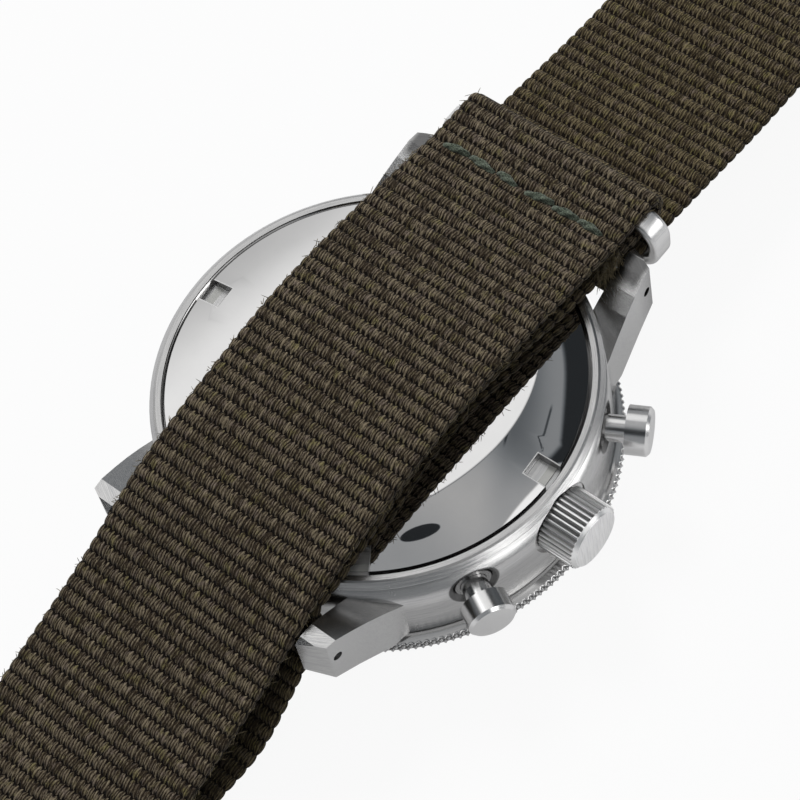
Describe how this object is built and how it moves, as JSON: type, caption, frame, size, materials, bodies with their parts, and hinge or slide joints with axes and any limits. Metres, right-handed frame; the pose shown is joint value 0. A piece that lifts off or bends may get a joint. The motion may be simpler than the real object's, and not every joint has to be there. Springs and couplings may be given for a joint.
{
  "type": "chronograph watch",
  "caption": "Chronograph watch lying face down: polished domed back, crown and pushers, coin-edge bezel, on a ribbed pass-through nylon strap with ring, keepers and buckle",
  "frame": {"origin": "centre of the crystal's flat outer face, on which the watch lies", "axes": "+Z to the caseback, +X to the crown, +Y along the strap to its tail, past the dial's 6 o'clock side"},
  "size_m": [0.0429, 0.2645, 0.0174],
  "materials": {
    "brushed_case": "fine brushed stainless steel",
    "polished_steel": "polished stainless steel",
    "steel": "turned steel",
    "black_rubber": "matt sealing rubber",
    "crystal_glass": "clear, flat",
    "dial_paint": "matt black",
    "holder_plastic": "moulded",
    "nylon": "ribbed olive-brown nylon webbing",
    "plate_brass": "gilt brass",
    "nickel_bridge": "nickel plate with stripes",
    "blue_steel": "tempered blue",
    "hand_steel": "polished"
  },
  "bodies": {
    "case": {"case_body": "brushed_case", "caseback": "polished_steel", "caseback_gasket": "black_rubber", "bezel_wire": "steel", "bezel_click_spring": "polished_steel", "crystal": "crystal_glass", "crystal_gasket": "black_rubber", "flange_ring": "dial_paint", "dial": "dial_paint", "movement_holder": "holder_plastic", "crown_tube": "polished_steel", "pusher_tubes": "polished_steel", "pusher_springs": "steel", "spring_bar_tubes": "polished_steel", "spring_bar_pins": "steel", "long_strap": "nylon", "short_strap": "nylon", "strap_ring": "brushed_case", "fixed_keeper": "brushed_case", "main_plate": "plate_brass", "train_bridge": "nickel_bridge", "balance_cock": "nickel_bridge", "chronograph_bridge": "nickel_bridge", "rotor_bearing": "steel"},
    "bezel": {"bezel": "brushed_case"},
    "crown_slider": {"crown_gasket": "black_rubber"},
    "crown": {"crown": "polished_steel", "winding_stem": "steel"},
    "start_pusher": {"start_pusher": "polished_steel", "start_pusher_clip": "steel"},
    "reset_pusher": {"reset_pusher": "polished_steel", "reset_pusher_clip": "steel"},
    "start_lever": {"start_lever": "steel"},
    "reset_lever": {"reset_lever": "steel"},
    "fourth_wheel": {"fourth_wheel": "plate_brass", "seconds_hand": "hand_steel"},
    "third_wheel": {"third_wheel": "plate_brass"},
    "centre_wheel": {"centre_wheel": "plate_brass", "cannon_pinion": "steel", "minute_hand": "hand_steel"},
    "barrel": {"barrel": "plate_brass", "mainspring": "blue_steel"},
    "escape_wheel": {"escape_wheel": "steel"},
    "minute_wheel": {"minute_wheel": "plate_brass"},
    "hour_wheel": {"hour_wheel": "plate_brass", "hour_hand": "hand_steel"},
    "chronograph_wheel": {"chronograph_wheel": "plate_brass", "chronograph_hand": "hand_steel"},
    "minute_counter": {"minute_counter_wheel": "plate_brass", "minute_counter_hand": "hand_steel"},
    "hour_counter": {"hour_counter_wheel": "plate_brass", "hour_counter_hand": "hand_steel"},
    "pallet_fork": {"pallet_fork": "steel"},
    "balance": {"balance_wheel": "plate_brass", "hairspring": "blue_steel"},
    "rotor": {"rotor": "nickel_bridge"},
    "sliding_keeper": {"sliding_keeper": "brushed_case"},
    "buckle": {"buckle_frame": "brushed_case", "buckle_bar": "steel"},
    "tongue": {"buckle_tongue": "polished_steel"}
  },
  "joints": [
    {"name": "bezel_turn", "type": "hinge", "parent": "case", "child": "bezel", "pos_m": [0, 0, 0.002], "axis": [0, 0, 1], "continuous": true},
    {"name": "crown_pull", "type": "slide", "parent": "case", "child": "crown_slider", "axis": [1, 0, 0], "range_m": [0, 0.0008]},
    {"name": "crown_turn", "type": "hinge", "parent": "crown_slider", "child": "crown", "pos_m": [0.02, 0, 0.0083], "axis": [1, 0, 0], "continuous": true},
    {"name": "start_push", "type": "slide", "parent": "case", "child": "start_pusher", "axis": [-0.887, 0.4617, 0], "range_m": [0, 0.001], "stiffness_N_per_m": 1500, "springref_m": -0.001},
    {"name": "reset_push", "type": "slide", "parent": "case", "child": "reset_pusher", "axis": [-0.887, -0.4617, 0], "range_m": [0, 0.001], "stiffness_N_per_m": 1500, "springref_m": -0.001},
    {"name": "start_lever_turn", "type": "hinge", "parent": "case", "child": "start_lever", "pos_m": [0.00776, -0.00993, 0.0093], "axis": [0, 0, 1], "range_deg": [0, 12]},
    {"name": "reset_lever_turn", "type": "hinge", "parent": "case", "child": "reset_lever", "pos_m": [0.00776, 0.00993, 0.0093], "axis": [0, 0, 1], "range_deg": [-12, 0]},
    {"name": "seconds_turn", "type": "hinge", "parent": "case", "child": "fourth_wheel", "pos_m": [-0.007, 0, 0.0075], "axis": [0, 0, 1], "continuous": true},
    {"name": "third_turn", "type": "hinge", "parent": "case", "child": "third_wheel", "pos_m": [-0.00374, 0.00216, 0.0075], "axis": [0, 0, 1], "continuous": true},
    {"name": "minutes_turn", "type": "hinge", "parent": "case", "child": "centre_wheel", "pos_m": [0, 0, 0.007], "axis": [0, 0, 1], "continuous": true},
    {"name": "barrel_turn", "type": "hinge", "parent": "case", "child": "barrel", "pos_m": [0.00463, -0.00289, 0.0073], "axis": [0, 0, 1], "continuous": true},
    {"name": "escape_turn", "type": "hinge", "parent": "case", "child": "escape_wheel", "pos_m": [-0.0089, -0.00272, 0.0073], "axis": [0, 0, 1], "continuous": true},
    {"name": "motion_turn", "type": "hinge", "parent": "case", "child": "minute_wheel", "pos_m": [0.0018, 0.00312, 0.0042], "axis": [0, 0, 1], "continuous": true},
    {"name": "hours_turn", "type": "hinge", "parent": "case", "child": "hour_wheel", "pos_m": [0, 0, 0.0038], "axis": [0, 0, 1], "continuous": true},
    {"name": "chronograph_turn", "type": "hinge", "parent": "case", "child": "chronograph_wheel", "pos_m": [0, 0, 0.0096], "axis": [0, 0, 1], "continuous": true},
    {"name": "minute_counter_turn", "type": "hinge", "parent": "case", "child": "minute_counter", "pos_m": [0, -0.007, 0.0096], "axis": [0, 0, 1], "continuous": true},
    {"name": "hour_counter_turn", "type": "hinge", "parent": "case", "child": "hour_counter", "pos_m": [0, 0.007, 0.0096], "axis": [0, 0, 1], "continuous": true},
    {"name": "fork_swing", "type": "hinge", "parent": "case", "child": "pallet_fork", "pos_m": [-0.00791, -0.00544, 0.007], "axis": [0, 0, 1], "range_deg": [-2, 2]},
    {"name": "balance_swing", "type": "hinge", "parent": "case", "child": "balance", "pos_m": [-0.00671, -0.00873, 0.0087], "axis": [0, 0, 1], "range_deg": [-270, 270], "stiffness_Nm_per_rad": 0.000001},
    {"name": "rotor_turn", "type": "hinge", "parent": "case", "child": "rotor", "pos_m": [0, 0, 0.011], "axis": [0, 0, 1], "continuous": true},
    {"name": "keeper_slide", "type": "slide", "parent": "case", "child": "sliding_keeper", "axis": [0, 1, 0], "range_m": [-0.005, 0.006]},
    {"name": "buckle_swing", "type": "hinge", "parent": "case", "child": "buckle", "pos_m": [0, -0.088, 0.00195], "axis": [-1, 0, 0], "range_deg": [0, 100]},
    {"name": "tongue_swing", "type": "hinge", "parent": "buckle", "child": "tongue", "pos_m": [0, -0.088, 0.00195], "axis": [-1, 0, 0], "range_deg": [0, 110]}
  ],
  "couplings": [
    {"joint": "third_turn", "follows": "seconds_turn", "ratio": -0.13333},
    {"joint": "minutes_turn", "follows": "seconds_turn", "ratio": 0.016667},
    {"joint": "barrel_turn", "follows": "seconds_turn", "ratio": -0.0027778},
    {"joint": "escape_turn", "follows": "seconds_turn", "ratio": -12},
    {"joint": "motion_turn", "follows": "seconds_turn", "ratio": -0.0055556},
    {"joint": "hours_turn", "follows": "seconds_turn", "ratio": 0.0013889},
    {"joint": "minute_counter_turn", "follows": "chronograph_turn", "ratio": 0.033333},
    {"joint": "hour_counter_turn", "follows": "chronograph_turn", "ratio": 0.0013889},
    {"joint": "start_lever_turn", "follows": "start_push", "rad_per_m": 191.38},
    {"joint": "reset_lever_turn", "follows": "reset_push", "rad_per_m": -191.38}
  ]
}
